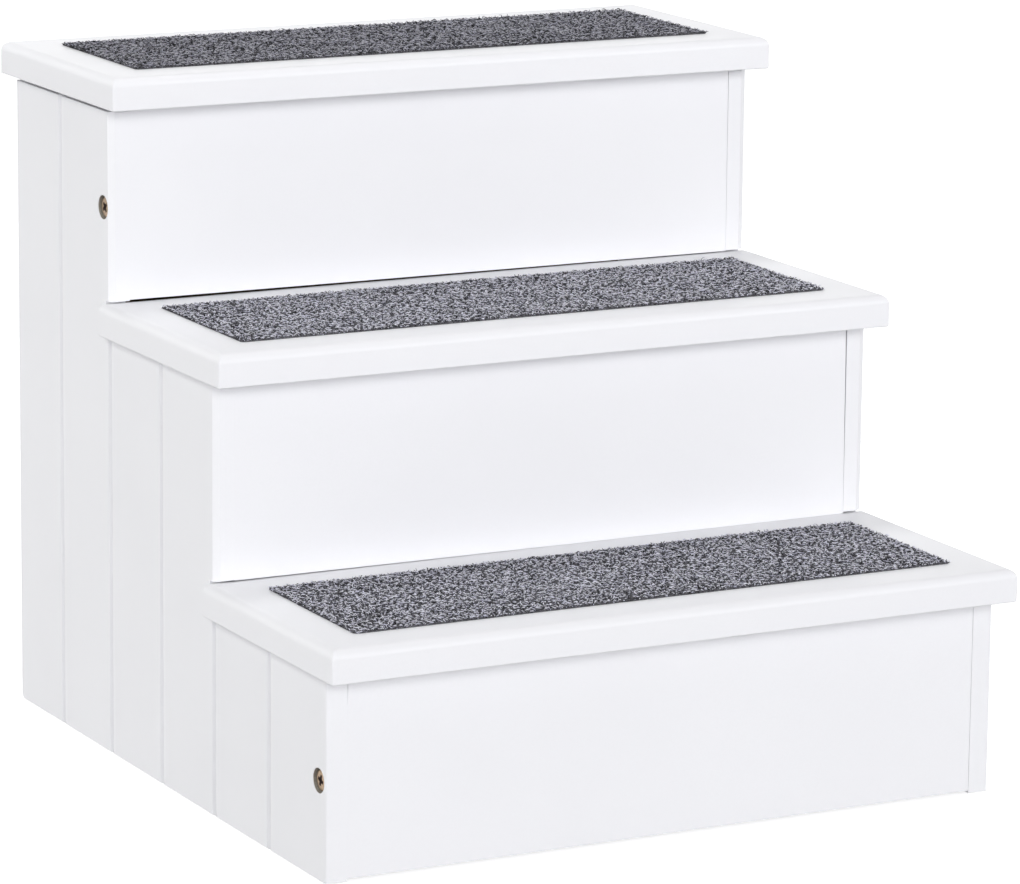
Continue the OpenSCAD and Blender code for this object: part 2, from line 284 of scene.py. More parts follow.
def recess_shade_finish(name):
    """The inside of a driver recess: painted shade, coloured near black for the shade deep in the recess."""
    n = Nodes(name)
    # film is a fine mottle in this painted shade
    film = n.noise(900.0, 3.0, 0.65)
    tone = n.ramp(film, [(0.3, (0.016, 0.009, 0.010)), (0.7, (0.060, 0.038, 0.030))])
    return n.finish(
        Base_Color=tone, Metallic=0.5, Roughness=n.ranged(film, 0.3, 0.7, 0.5, 0.75),
        Normal=n.bump(film, 0.3, 0.0001),
    )


def yarn(name, dark):
    """Carpet yarn: every fibre has a tone of its own, with painted shade that darkens it towards its root, and a
    fine twist.
    The dye says how strongly the whole strip is coloured."""
    n = Nodes(name)
    tone = n.add("ShaderNodeAttribute", attribute_name="tone").outputs["Fac"]
    rise = n.add("ShaderNodeAttribute", attribute_name="rise").outputs["Fac"]
    dye = n.add("ShaderNodeAttribute", attribute_name="dye").outputs["Fac"]
    twist = n.noise(1700.0, 2.0, 0.6)
    mixed = n.math("ADD", tone, n.ranged(twist, 0.25, 0.75, -0.09, 0.09))
    colour = n.ramp(
        mixed,
        [
            (0.00, (0.005, 0.005, 0.007)),
            (0.37, (0.024, 0.024, 0.029)),
            (0.49, (0.21, 0.21, 0.254)),
            (0.61, (0.72, 0.72, 0.875)),
            (1.00, (0.91, 0.91, 1.0)),
        ],
    )
    # painted shade: the colour falls to 30 % at the root and comes back to full at 85 % of the fibre's length
    depth = n.math("MULTIPLY", n.ranged(rise, 0.0, 0.85, 0.30, 1.0), dye)
    root = n.mix(depth, (0.0, 0.0, 0.0), colour)
    return n.finish(
        Base_Color=root,
        Roughness=n.ranged(twist, 0.3, 0.7, 0.52, 0.70),
        Specular_IOR_Level=0.15,
        Sheen_Weight=0.02 if dark else 0.04,
        Sheen_Roughness=0.45,
    )


def felt(name):
    """The dense root of the pile, seen between the fibres and along the cut edges."""
    n = Nodes(name)
    tuft = n.noise(620.0, 3.0, 0.65)
    fibre = n.noise(2100.0, 3.0, 0.7, n.mapped((1, 0.45, 1), turn=(0, 0, 0.6)))
    both = n.math("ADD", n.math("MULTIPLY", tuft, 0.45), n.math("MULTIPLY", fibre, 0.55))
    tone = n.ramp(
        both,
        [
            (0.30, (0.020, 0.020, 0.022)),
            (0.48, (0.070, 0.070, 0.077)),
            (0.60, (0.17, 0.17, 0.188)),
            (0.74, (0.34, 0.34, 0.37)),
        ],
    )
    return n.finish(
        Base_Color=tone,
        Roughness=n.ranged(fibre, 0.3, 0.7, 0.8, 0.95),
        Normal=n.bump(both, 0.9, 0.0006),
        Specular_IOR_Level=0.2,
    )


def pale_floor(name, glow=0.65):
    """Seamless studio paper: pale, matt, faintly uneven, with a soft glow of its own."""
    n = Nodes(name)
    tone = n.mix(n.noise(1.5, 2.0, 0.5), (0.795, 0.795, 0.799), (0.806, 0.806, 0.809))
    return n.finish(
        Base_Color=tone,
        Roughness=0.65,
        Specular_IOR_Level=0.2,
        Emission_Color=(1.0, 1.0, 1.0),
        Emission_Strength=glow,
        Normal=n.bump(n.noise(260.0, 2.0, 0.5), 0.03, 0.0003),
    )


LACQUER = lacquer("white_lacquer_face")
EDGE = lacquer("white_lacquer_edge", face=False)
BORE = bore_finish("drilled_fibreboard")
WOOD_Y = bare_wood("planed_softwood_y", "Y")
WOOD_X = bare_wood("turned_dowel_x", "X")
BROWN = hardboard("bare_hardboard")
ZINC = zinc("bright_zinc_plate")
YELLOW = zinc("yellow_zinc_plate", yellow=True)
RECESS_SHADE = recess_shade_finish("painted_recess_shade")
YARN_DARK = yarn("pile_yarn_dark", True)
YARN_LIGHT = yarn("pile_yarn_light", False)
FELT = felt("pile_root_felt")


# ---------------------------------------------------------------- meshes
def object_of(name, mesh):
    ob = bpy.data.objects.new(name, mesh)
    bpy.context.scene.collection.objects.link(ob)
    return ob


def mesh_of(name, bm):
    bmesh.ops.recalc_face_normals(bm, faces=bm.faces)
    mesh = bpy.data.meshes.new(name)
    bm.to_mesh(mesh)
    bm.free()
    return mesh


def prism(name, points, axis, lo, hi):
    """A closed solid: a flat outline pushed from lo to hi along an axis (0, 1 or 2).
    points are (a, b) in the other two axes, in the order x, y, z."""
    bm = bmesh.new()
    rings = []
    for level in (lo, hi):
        ring = []
        for a, b in points:
            co = [a, b]
            co.insert(axis, level)
            ring.append(bm.verts.new(co))
        rings.append(ring)
    bm.faces.new(rings[0])
    bm.faces.new(rings[1][::-1])
    for k in range(len(points)):
        j = (k + 1) % len(points)
        bm.faces.new((rings[0][k], rings[1][k], rings[1][j], rings[0][j]))
    return bm


def lathe(profile, origin, axis, segs=48):
    """A closed solid of revolution. profile is (distance along the axis, radius), from
    one end to the other; a radius of 0 closes an end in a point."""
    axis = Vector(axis).normalized()
    side = axis.orthogonal().normalized()
    other = axis.cross(side)
    origin = Vector(origin)
    bm = bmesh.new()
    rings = []
    for s, r in profile:
        centre = origin + axis * s
        if r <= 0:
            rings.append([bm.verts.new(centre)])
            continue
        rings.append(
            [
                bm.verts.new(
                    centre
                    + side * (r * math.cos(2 * math.pi * k / segs))
                    + other * (r * math.sin(2 * math.pi * k / segs))
                )
                for k in range(segs)
            ]
        )
    for a, b in zip(rings, rings[1:]):
        for k in range(segs):
            j = (k + 1) % segs
            if len(a) == 1:
                bm.faces.new((a[0], b[k], b[j]))
            elif len(b) == 1:
                bm.faces.new((a[k], b[0], a[j]))
            else:
                bm.faces.new((a[k], b[k], b[j], a[j]))
    for ring, flip in ((rings[0], False), (rings[-1], True)):
        if len(ring) > 1:
            bm.faces.new(ring[::-1] if flip else ring)
    return bm


def joined(bms):
    """Several closed solids in one bmesh."""
    out = bmesh.new()
    for bm in bms:
        mesh = mesh_of("tmp", bm)
        out.from_mesh(mesh)
        bpy.data.meshes.remove(mesh)
    return out


def cut(ob, bms):
    """Takes closed solids, which don't touch each other, away from ob."""
    tool = object_of("cutter", mesh_of("cutter", joined(bms)))
    mod = ob.modifiers.new("cut", "BOOLEAN")
    mod.operation = "DIFFERENCE"
    mod.solver = "EXACT"
    mod.object = tool
    dg = bpy.context.evaluated_depsgraph_get()
    made = bpy.data.meshes.new_from_object(ob.evaluated_get(dg))
    ob.modifiers.clear()
    old, ob.data = ob.data, made
    bpy.data.meshes.remove(old)
    old = tool.data
    bpy.data.objects.remove(tool)
    bpy.data.meshes.remove(old)


def eased(bm, width, segments=2, crisp=None):
    """Rounds every edge of a solid a little, as sanding and paint do. crisp says which
    edges stay sharp, from their two ends."""
    bmesh.ops.bevel(
        bm,
        geom=[e for e in bm.edges if crisp is None or not crisp(e.verts[0].co, e.verts[1].co)],
        offset=width,
        offset_type="OFFSET",
        segments=segments,
        profile=0.5,
        affect="EDGES",
        clamp_overlap=True,
    )
    return bm


def settle(ob, node, mats, which=None, angle=38.0):
    """Last steps for a board: clean, shade, materials by face, its body, and the CAD part it stands for hidden.
    """
    me = ob.data
    bm = bmesh.new()
    bm.from_mesh(me)
    bmesh.ops.remove_doubles(bm, verts=bm.verts, dist=2e-6)
    bmesh.ops.dissolve_degenerate(bm, dist=1e-6, edges=bm.edges)
    bmesh.ops.recalc_face_normals(bm, faces=bm.faces)
    bm.to_mesh(me)
    bm.free()
    me.materials.clear()
    for mat in mats:
        me.materials.append(mat)
    me.shade_smooth()
    me.set_sharp_from_angle(angle=math.radians(angle))
    if which is not None:
        for p in me.polygons:
            p.material_index = which(p.center, p.normal)
    mod = ob.modifiers.new("even_normals", "WEIGHTED_NORMAL")
    mod.keep_sharp = True
    mod.weight = 60
    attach(ob, "root")
    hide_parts(node)
    return ob


# ------------------------------------------------- places, in the model's frame
HALF, INNER = 200.0, 188.0  # outer and inner face of a side panel
DEPTH, GOING = 407.0, 137.5
SHIFT = -200.5
UNDER = (109.5, 236.25, 363.0)
PLANE = (0.0, 137.5, 275.0)
RISER_LO = (1.5, 127.8, 255.25)
RISER_MID = tuple((a + b) / 2 for a, b in zip(RISER_LO, UNDER))
TREAD_T, NOSE, TUCK = 18.0, 17.0, 5.5
TOP_GAP = 2.8  # between the top tread and the panels' top edges
GROOVES = tuple(68.75 * k for k in range(1, 6))
RAIL_LO = (313.0, 22.0)
RAIL_MID = (338.0, 47.0)
BACK_T = 3.0  # the back board, flush with the panels' back edges
RAIL_Y = DEPTH - BACK_T - 18.0
PIN_X = (0.27 * INNER, 0.74 * INNER)
BOLT_DROP = 2.5
BOLT_AT = [(PLANE[k] + 9, RISER_MID[k] - BOLT_DROP) for k in (0, 2)]
CAM_AT = [(PLANE[1] + 9, RISER_MID[1], 1), (RAIL_Y + 9, RAIL_MID[0], -1), (RAIL_Y + 9, RAIL_MID[1], -1)]
DOWEL_AT = [(PLANE[k] + 9, RISER_MID[k] + s * 35) for k in range(3) for s in (-1, 1)] + [
    (RAIL_Y + 9, RAIL_MID[k] + s * 16) for k in range(2) for s in (-1, 1)
]
CLEAT_Y, CLEAT_L, CLEAT_S = 21.0, 88.0, 16.0
SIDES = (-1, 1)


def at(x, y, z):
    """A point in metres from millimetres before the shift to the frame's origin."""
    return Vector((x * MM, (y + SHIFT) * MM, z * MM))


def bore(x, y, z, direction, r, depth, mouth=0.0, over=1.0, segs=40):
    """A round cutter that starts outside the surface and goes in by depth (mm). mouth is
    the width of the eased rim."""
    d = Vector(direction)
    prof = [(-over, r + mouth), (0.0, r + mouth)] if mouth else [(-over, r)]
    if mouth:
        prof = [
            (-over, r + mouth),
            (-0.004, r + mouth),
            (mouth * 0.3, r + mouth * 0.3),
            (mouth, r),
        ]
    prof.append((depth, r))
    return lathe([(s * MM, q * MM) for s, q in prof], at(x, y, z), d, segs)


def groove_cutter(y, side, width=4.4, deep=3.6, soft=0.12, root=0.15):
    """A V-groove's cutter, floor to top, with eased shoulders and a soft bottom."""
    t = soft * math.tan(math.radians(22.5))
    pts = [(1.2, -width / 2 - t), (0.003, -width / 2 - t)]
    for k in range(1, 5):  # shoulder
        a = math.radians(45.0) * k / 4
        pts.append((-soft * (1 - math.cos(a)), -width / 2 - t + soft * math.sin(a)))
    c = -deep + root * math.sqrt(2)
    for k in range(5):  # bottom
        a = math.radians(-45 + 90 * k / 4)
        pts.append((c - root * math.cos(a), root * math.sin(a)))
    for k in range(4, 0, -1):
        a = math.radians(45.0) * k / 4
        pts.append((-soft * (1 - math.cos(a)), width / 2 + t - soft * math.sin(a)))
    pts += [(0.003, width / 2 + t), (1.2, width / 2 + t)]
    out = [(side * (HALF + x) * MM, (y + dy + SHIFT) * MM) for x, dy in pts]
    return prism("groove", out, 2, -3 * MM, 366 * MM)


def corner_cutter(y, side, size, facing):
    """Eases the outer upright corner of a panel's front (facing -1) or back (1) edge."""
    pts = [(1.0, facing * 1.0), (-size - 1.0, facing * 1.0)]
    for k in range(6):
        a = math.radians(90.0) * k / 5
        pts.append((-size + size * math.sin(a), facing * (-size + size * math.cos(a))))
    pts.append((1.0, -facing * (size + 1.0)))
    pts = [pts[0], *pts[1:2], *pts[2:]]
    out = [(side * (HALF + x) * MM, (y + dy + SHIFT) * MM) for x, dy in pts]
    return prism("corner", out, 2, -3 * MM, 366 * MM)


def side_panel(side, name, node):
    cutb = TUCK + 0.3
    yz = [
        (0, 0), (DEPTH - 3, 0), (DEPTH, 3), (DEPTH, UNDER[2] - TOP_GAP), (PLANE[2], UNDER[2] - TOP_GAP),
        (PLANE[2], UNDER[1] + TREAD_T + 0.8), (PLANE[2] + cutb, UNDER[1] + TREAD_T + 0.8),
        (PLANE[2] + cutb, UNDER[1]), (PLANE[1], UNDER[1]), (PLANE[1], UNDER[0] + TREAD_T + 0.8),
        (PLANE[1] + cutb, UNDER[0] + TREAD_T + 0.8), (PLANE[1] + cutb, UNDER[0]), (0, UNDER[0]),
    ]
    pts = [((y + SHIFT) * MM, z * MM) for y, z in yz]
    bm = prism(name, pts, 0, side * INNER * MM, side * HALF * MM)
    bmesh.ops.recalc_face_normals(bm, faces=bm.faces)

    def beside_riser(a, b):
        """The inner upright edges of the panel's fronts, which are flush with the risers."""
        y = a.y / MM - SHIFT
        return (
            abs(a.z - b.z) > 20 * MM
            and abs(a.y - b.y) < 1e-6
            and abs(abs(a.x) - INNER * MM) < 1e-6
            and min(abs(y - q) for q in PLANE) < 0.01
        )

    eased(bm, 0.35 * MM, crisp=beside_riser)
    ob = object_of(name, mesh_of(name, bm))
    ob.data.materials.append(LACQUER)
    cut(ob, [corner_cutter(0, side, 1.1, -1)])
    cut(ob, [corner_cutter(DEPTH, side, 1.5, 1)])
    cut(ob, [groove_cutter(y, side) for y in GROOVES])
    inward = (-side, 0, 0)
    outward = (side, 0, 0)
    cut(ob, [bore(side * HALF, y, z, inward, 6.6, 3.6, 0.35, segs=64) for y, z in BOLT_AT])
    cut(
        ob,
        [bore(side * (HALF - 3.0), y, z, inward, 3.25, 12, segs=40) for y, z in BOLT_AT]
        + [bore(side * INNER, y, z, outward, 3.05, 9) for y, z, _ in CAM_AT]
        + [bore(side * INNER, y, z, outward, 3.05, 8.5) for y, z in DOWEL_AT]
        + [
            bore(side * INNER, PLANE[k] + CLEAT_Y + y, UNDER[k] - CLEAT_S / 2, outward, 1.8, 9.2, segs=24)
            for k in range(3)
            for y in (28.0, CLEAT_L - 28.0)
        ],
    )

    def which(c, n):
        x = abs(c.x) / MM
        if INNER + 0.6 < x < HALF - 0.4 and abs(n.x) < 0.5:
            for y, z in BOLT_AT + [(a[0], a[1]) for a in CAM_AT] + DOWEL_AT:
                if math.hypot(c.y / MM - SHIFT - y, c.z / MM - z) < 6.8:
                    return 2
            return 1 if x < HALF - 2.45 else 0
        return 0

    return settle(ob, node, [LACQUER, EDGE, BORE], which)


def cross_board(
    name, node, y, lo, hi, x_bores, y_bores, foot=None, chip=0.0, soft=0.4, slack=(0.2, 0.2)
):
    """A board across the stair between the two panels. x_bores start at both ends;
    y_bores are (x in from the end, z, side, radius, depth) from the front or back face.
    foot gives its lower edge as (share of the width, z), because a riser stands a little
    askew over the tread; chip takes a sliver off its upper left corner; slack is the
    joint at its right end, at the lower and the upper corner."""
    x0, x1 = -INNER + 0.02, INNER - slack[0]
    pts = [(x0 + (x1 - x0) * share, z) for share, z in (foot or ((0, lo), (1, lo)))]
    pts += [(INNER - slack[1], hi), (x0 + chip, hi)]
    if chip:
        pts.append((x0, hi - 16.0))
    pts = [(x * MM, z * MM) for x, z in pts]
    bm = prism(name, pts, 1, (y + SHIFT) * MM, (y + 18 + SHIFT) * MM)
    bmesh.ops.recalc_face_normals(bm, faces=bm.faces)
    front = (y + SHIFT) * MM

    def flush(a, b):
        """A riser's upright front edges, flush with the panels."""
        return foot and abs(a.y - front) < 1e-6 and abs(b.y - front) < 1e-6 and abs(a.x - b.x) < 2 * MM

    eased(bm, soft * MM, crisp=flush)
    ob = object_of(name, mesh_of(name, bm))
    ob.data.materials.append(LACQUER)
    cut(
        ob,
        [
            bore(s * INNER, y + 9, z, (-s, 0, 0), r, depth, segs=32)
            for s in SIDES
            for z, r, depth in x_bores
        ],
    )
    cut(
        ob,
        [
            bore(s * (INNER - x_in), y + (18 if face > 0 else 0), z, (0, -face, 0), r, depth, 0.3, segs=48)
            for s in SIDES
            for x_in, z, face, r, depth in y_bores
        ],
    )

    def which(c, n):
        if abs(n.z) > 0.7 and (c.z / MM < lo + 1.5 or c.z / MM > hi - 0.8):
            return 1
        for x_in, z, face, r, depth in y_bores:
            if math.hypot(abs(c.x) / MM - (INNER - x_in), c.z / MM - z) < r + 0.2:
                return 2
        return 0

    return settle(ob, node, [LACQUER, EDGE, BORE], which)


def ring_of(hx, y0, y1, r, z, per=5):
    """The points of a rectangle with round corners, at one height."""
    pts = []
    for cx, cy, a0 in ((hx - r, y0 + r, -90), (hx - r, y1 - r, 0), (-hx + r, y1 - r, 90), (-hx + r, y0 + r, 180)):
        for k in range(per + 1):
            a = math.radians(a0 + 90.0 * k / per)
            pts.append((cx + r * math.cos(a), cy + r * math.sin(a), z))
    return pts


def tread(k, name, node):
    y0, y1 = PLANE[k] - NOSE, PLANE[k] - NOSE + GOING + NOSE + TUCK
    z0, hx, top_r, low_r, corner = UNDER[k], 205.0, 5.0, 0.8, 1.1
    levels = []
    for j in range(4):  # eased bottom edge
        a = math.radians(90.0 * j / 3)
        levels.append((z0 + low_r * (1 - math.cos(a)), low_r * (1 - math.sin(a))))
    steps = 10
    levels += [
        (
            z0 + TREAD_T - top_r + top_r * math.sin(math.radians(90.0 * j / steps)),
            top_r * (1 - math.cos(math.radians(90.0 * j / steps))),
        )
        for j in range(steps + 1)
    ]
    bm = bmesh.new()
    rings = []
    for z, inset in levels:
        rings.append(
            [bm.verts.new(at(*p)) for p in ring_of(hx - inset, y0 + inset, y1 - inset, corner, z)]
        )
    n = len(rings[0])
    for a, b in zip(rings, rings[1:]):
        for i in range(n):
            j = (i + 1) % n
            bm.faces.new((a[i], a[j], b[j], b[i]))
    bm.faces.new(rings[0][::-1])
    bm.faces.new(rings[-1])
    ob = object_of(name, mesh_of(name, bm))
    ob.data.materials.append(LACQUER)
    cut(
        ob,
        [
            bore(s * (INNER - CLEAT_S / 2), PLANE[k] + CLEAT_Y + y, z0, (0, 0, 1), 2.05, 14.2, segs=24)
            for s in SIDES
            for y in (10.0, CLEAT_L - 10.0)
        ],
    )

    def which(c, nrm):
        return 1 if c.z / MM < z0 + 0.4 else 0

    return settle(ob, node, [LACQUER, EDGE], which)


def cleat(k, side, name, node):
    x0, x1 = sorted((side * INNER * MM, side * (INNER - CLEAT_S) * MM))
    y0, z0 = PLANE[k] + CLEAT_Y, UNDER[k] - CLEAT_S
    pts = [(x0, z0 * MM), (x1, z0 * MM), (x1, UNDER[k] * MM), (x0, UNDER[k] * MM)]
    bm = prism(name, pts, 1, (y0 + SHIFT) * MM, (y0 + CLEAT_L + SHIFT) * MM)
    bmesh.ops.recalc_face_normals(bm, faces=bm.faces)
    eased(bm, 0.5 * MM)
    ob = object_of(name, mesh_of(name, bm))
    ob.data.materials.append(WOOD_Y)

    def sunk(p, d, head, hole):
        prof = [(-1.0, head + 0.05), (0.0, head + 0.05), (2.4, hole), (20.0, hole)]
        return lathe([(s * MM, r * MM) for s, r in prof], p, d, 32)

    cut(
        ob,
        [
            sunk(at(side * (INNER - CLEAT_S / 2), y0 + y, z0), (0, 0, 1), 4.0, 2.15)
            for y in (10.0, CLEAT_L - 10.0)
        ]
        + [
            sunk(at(side * (INNER - CLEAT_S), y0 + y, UNDER[k] - CLEAT_S / 2), (side, 0, 0), 3.5, 1.9)
            for y in (28.0, CLEAT_L - 28.0)
        ],
    )
    return settle(ob, node, [WOOD_Y])


# ------------------------------------------------------------------ boards
for side, word in ((-1, "left"), (1, "right")):
    side_panel(side, f"{word}_side_board", f"side_panel_{word}")

STEPS = ("bottom", "middle", "top")
for k, word in enumerate(STEPS):
    xb = [(RISER_MID[k] + s * 35, 3.05, 23.5) for s in (-1, 1)]
    if k == 1:
        xb.append((RISER_MID[k], 4.05, 23.0))
        yb = [(24.0, RISER_MID[k], 1, 7.55, 13.0)]
    else:
        xb.append((RISER_MID[k], 3.5, 49.0))
        yb = [(34.0, RISER_MID[k], 1, 5.05, 14.0)]
    top = UNDER[k - 1] + TREAD_T if k else 1.5
    foot = (
        ((0.0, top), (1.0, top)),
        ((0.0, top + 0.62), (0.55, top + 0.06), (1.0, top + 0.03)),
        ((0.0, top + 1.50), (0.40, top + 1.10), (1.0, top + 0.55)),
    )[k]
    cross_board(
        f"{word}_riser_board", f"riser_{word}", PLANE[k], RISER_LO[k], UNDER[k] - 0.02, xb, yb,
        foot=foot, chip=0.0 if k else 0.5, soft=0.12,
        slack=((0.26, 0.26), (0.12, 0.92), (0.12, 0.36))[k],
    )
    tread(k, f"{word}_tread_board", f"tread_{word}")
    for side, hand in ((-1, "left"), (1, "right")):
        cleat(k, side, f"{word}_{hand}_batten", f"cleat_{word}_{hand}")

for k, word in enumerate(("upper", "lower")):
    xb = [(RAIL_MID[k] + s * 16, 3.05, 23.5) for s in (-1, 1)] + [(RAIL_MID[k], 4.05, 23.0)]
    yb = [(24.0, RAIL_MID[k], -1, 7.55, 13.0)]
    yb += [(INNER - x, RAIL_MID[k], 1, 0.75, 14.5) for x in PIN_X]
    cross_board(f"{word}_back_rail_board", f"back_rail_{word}", RAIL_Y, RAIL_LO[k], RAIL_LO[k] + 50.0, xb, yb)


def back_board(name, node):
    """The thin board behind the rails: painted outside, bare inside, with pinned edges."""
    x, y, z0, z1 = INNER - 0.1, DEPTH - BACK_T, 4.0, UNDER[2] - 0.5
    pts = [(-x * MM, z0 * MM), (x * MM, z0 * MM), (x * MM, z1 * MM), (-x * MM, z1 * MM)]
    bm = prism(name, pts, 1, (y + SHIFT) * MM, (DEPTH + SHIFT) * MM)
    bmesh.ops.recalc_face_normals(bm, faces=bm.faces)
    eased(bm, 0.25 * MM)
    ob = object_of(name, mesh_of(name, bm))
    ob.data.materials.append(LACQUER)
    cut(
        ob,
        [
            bore(s * px, DEPTH, z, (0, -1, 0), 0.75, 4.0, segs=20)
            for s in SIDES
            for px in PIN_X
            for z in RAIL_MID
        ],
    )

    def which(c, n):
        return 1 if n.y < -0.5 or c.y / MM - SHIFT < DEPTH - 0.4 else 0

    return settle(ob, node, [LACQUER, BROWN], which)


back_board("thin_back_board", "back_board")


# ---------------------------------------------------------- connecting bolts
def bolt_mesh():
    """One flat-head bolt, head's face towards -Z, seat at 0, in metres."""
    prof = [
        (-2.36, 0.0), (-2.355, 1.6), (-2.34, 3.2), (-2.28, 4.5), (-2.12, 5.2), (-1.85, 5.66),
        (-1.45, 5.92), (-1.1, 6.0), (-0.25, 6.0), (-0.05, 5.93), (0.0, 5.75), (0.0, 3.1),
        (0.25, 3.0), (36.0, 3.0), (36.3, 2.75), (49.0, 2.75), (50.0, 2.0), (50.0, 0.0),
    ]
    bm = lathe([(s * MM, r * MM) for s, r in prof], (0, 0, 0), (0, 0, 1), 64)
    ob = object_of("bolt_tmp", mesh_of("bolt_tmp", bm))
    arm, wide = 3.1, 0.85
    outline = [
        (arm, -wide), (arm, wide), (wide + 0.35, wide + 0.35), (wide, arm), (-wide, arm),
        (-wide - 0.35, wide + 0.35), (-arm, wide), (-arm, -wide), (-wide - 0.35, -wide - 0.35),
        (-wide, -arm), (wide, -arm), (wide + 0.35, -wide - 0.35),
    ]
    tool = bmesh.new()
    rings = []
    for z, k in ((-3.4, 1.12), (-2.3, 1.0), (-0.6, 0.62), (-0.15, 0.30)):
        rings.append([tool.verts.new((x * k * MM, y * k * MM, z * MM)) for x, y in outline])
    for a, b in zip(rings, rings[1:]):
        for i in range(12):
            j = (i + 1) % 12
            tool.faces.new((a[i], a[j], b[j], b[i]))
    tool.faces.new(rings[0])
    tool.faces.new(rings[-1][::-1])
    cut(ob, [tool])
    me = ob.data
    bpy.data.objects.remove(ob)
    return me


one = bolt_mesh()
bm = bmesh.new()
for side in SIDES:
    for k, (y, z) in enumerate(BOLT_AT):
        turned = Matrix.Rotation(math.radians(-90.0 * side), 4, "Y")
        spin = Matrix.Rotation(math.radians((17, 52, 31, 74)[k + (side > 0) * 2]), 4, "Z")
        part = one.copy()
        part.transform(Matrix.Translation(at(side * (HALF - 3.6), y, z)) @ turned @ spin)
        bm.from_mesh(part)
        bpy.data.meshes.remove(part)
bolts = object_of("flat_head_bolts", mesh_of("flat_head_bolts", bm))


def in_recess(c, n):
    """1 for the faces inside a head's driver recess, which take the painted shade."""
    y, z = c.y / MM - SHIFT, c.z / MM
    near = min(math.hypot(y - a, z - b) for a, b in BOLT_AT)
    return 1 if near < 3.7 and HALF - 3.5 < abs(c.x) / MM < HALF - 1.6 else 0


settle(bolts, "connecting_bolts", [YELLOW, RECESS_SHADE], in_recess, angle=32.0)
bpy.data.meshes.remove(one)


# ------------------------------------------------------------------ carpets
def field(x, y, cell, seed):
    """Smooth random values from 0 to 1 on a lattice of that cell size."""
    grid = np.random.default_rng(seed).random((512, 512))
    u, v = x / cell + 37.3, y / cell + 21.7
    i, j = np.floor(u).astype(int), np.floor(v).astype(int)
    a, b = u - i, v - j
    a, b = a * a * (3 - 2 * a), b * b * (3 - 2 * b)
    g = lambda p, q: grid[p % 512, q % 512]
    return (g(i, j) * (1 - a) + g(i + 1, j) * a) * (1 - b) + (
        g(i, j + 1) * (1 - a) + g(i + 1, j + 1) * a
    ) * b


CW, CD, CR = 359.0, 106.0, 3.0  # a carpet strip's width, depth and corner radius
FRONT = 27.0  # from the tread's front edge to the strip
INSET = 0.5  # the dense root layer stays this far inside the pile
BACK = 0.85  # height of the dense root layer


def tufts(x, y, seed):
    """The pile's small tufts: 1 on top of one, 0 in the gap between two."""
    v = 0.60 * field(x, y, 1.75, seed) + 0.40 * field(x, y, 1.0, seed + 1)
    return np.clip((v - 0.5) * 2.1 + 0.5, 0, 1)


def raw_mesh(name, verts, faces_flat, counts, mat, attributes=None, uv=None):
    me = bpy.data.meshes.new(name)
    me.vertices.add(len(verts))
    me.vertices.foreach_set("co", (verts * MM).astype(np.float32).ravel())
    me.loops.add(len(faces_flat))
    me.loops.foreach_set("vertex_index", faces_flat.astype(np.int32))
    me.polygons.add(len(counts))
    starts = np.concatenate([[0], np.cumsum(counts)[:-1]]).astype(np.int32)
    me.polygons.foreach_set("loop_start", starts)
    me.update(calc_edges=True)
    me.validate()
    for key, values in (attributes or {}).items():
        me.attributes.new(key, "FLOAT", "POINT").data.foreach_set("value", values.astype(np.float32))
    if uv is not None:
        layer = me.uv_layers.new(name="OFBake", do_init=False)
        layer.uv.foreach_set("vector", uv.astype(np.float32).ravel())
    me.materials.append(mat)
    me.shade_smooth()
    return me


def strip_backing(k, name):
    """The strip's dense root layer: a lumpy top, slightly ragged cut sides, flat underside."""
    step = 1.0
    w, d, rc = CW - 2 * INSET, CD - 2 * INSET, CR - INSET
    nx, ny = int(w / step), int(d / step)
    gx, gy = np.meshgrid(np.linspace(-w / 2, w / 2, nx + 1), np.linspace(0, d, ny + 1))
    x, y = gx.copy(), gy.copy()
    for sx in (-1, 1):  # round corners
        for cy in (rc, d - rc):
            cx = sx * (w / 2 - rc)
            dx, dy = x - cx, y - cy
            corner = (dx * sx > 0) & ((dy < 0) if cy < d / 2 else (dy > 0))
            far = corner & (np.hypot(dx, dy) > rc)
            r = np.maximum(np.hypot(dx, dy), 1e-6)
            x[far] = cx + dx[far] * rc / r[far]
            y[far] = cy + dy[far] * rc / r[far]
    edge = np.minimum(np.minimum(gx + w / 2, w / 2 - gx), np.minimum(gy, d - gy))
    z = BACK - 0.35 + 0.5 * field(gx, gy, 1.6, 5 + k) + 0.3 * field(gx, gy, 0.9, 15 + k)
    z = z - 0.25 * np.exp(-edge / 0.8)
    rag = edge < 0.01
    out = np.stack([x, y, z], -1)
    out[rag, :2] += (np.stack([field(gx, gy, 1.3, 25 + k), field(gx, gy, 1.3, 35 + k)], -1)[rag] - 0.5) * 0.35
    top = out.reshape(-1, 3)
    idx = np.arange(len(top)).reshape(ny + 1, nx + 1)
    quads = np.stack([idx[:-1, :-1], idx[:-1, 1:], idx[1:, 1:], idx[1:, :-1]], -1).reshape(-1, 4)
    loop = np.concatenate([idx[0, :-1], idx[:-1, -1], idx[-1, :0:-1], idx[:0:-1, 0]])
    m = len(loop)
    middle, bottom = top[loop].copy(), top[loop].copy()
    middle[:, 2], bottom[:, 2] = 0.35, 0.02
    verts = np.concatenate([top, middle, bottom])
    a, b = len(top), len(top) + m
    nxt = (np.arange(m) + 1) % m
    side = np.concatenate(
        [
            np.stack([a + np.arange(m), a + nxt, loop[nxt], loop], -1),
            np.stack([b + np.arange(m), b + nxt, a + nxt, a + np.arange(m)], -1),
        ]
    )
    flat = np.concatenate([quads.ravel(), side.ravel(), (b + np.arange(m))[::-1]])
    counts = np.concatenate([np.full(len(quads) + len(side), 4), [m]])
    verts[:, 1] += PLANE[k] - NOSE + FRONT + INSET + SHIFT
    verts[:, 2] += UNDER[k] + TREAD_T
    ob = object_of(name, raw_mesh(name, verts, flat, counts, FELT))
    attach(ob, "root")
    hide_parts(f"carpet_{STEPS[k]}")
    return ob


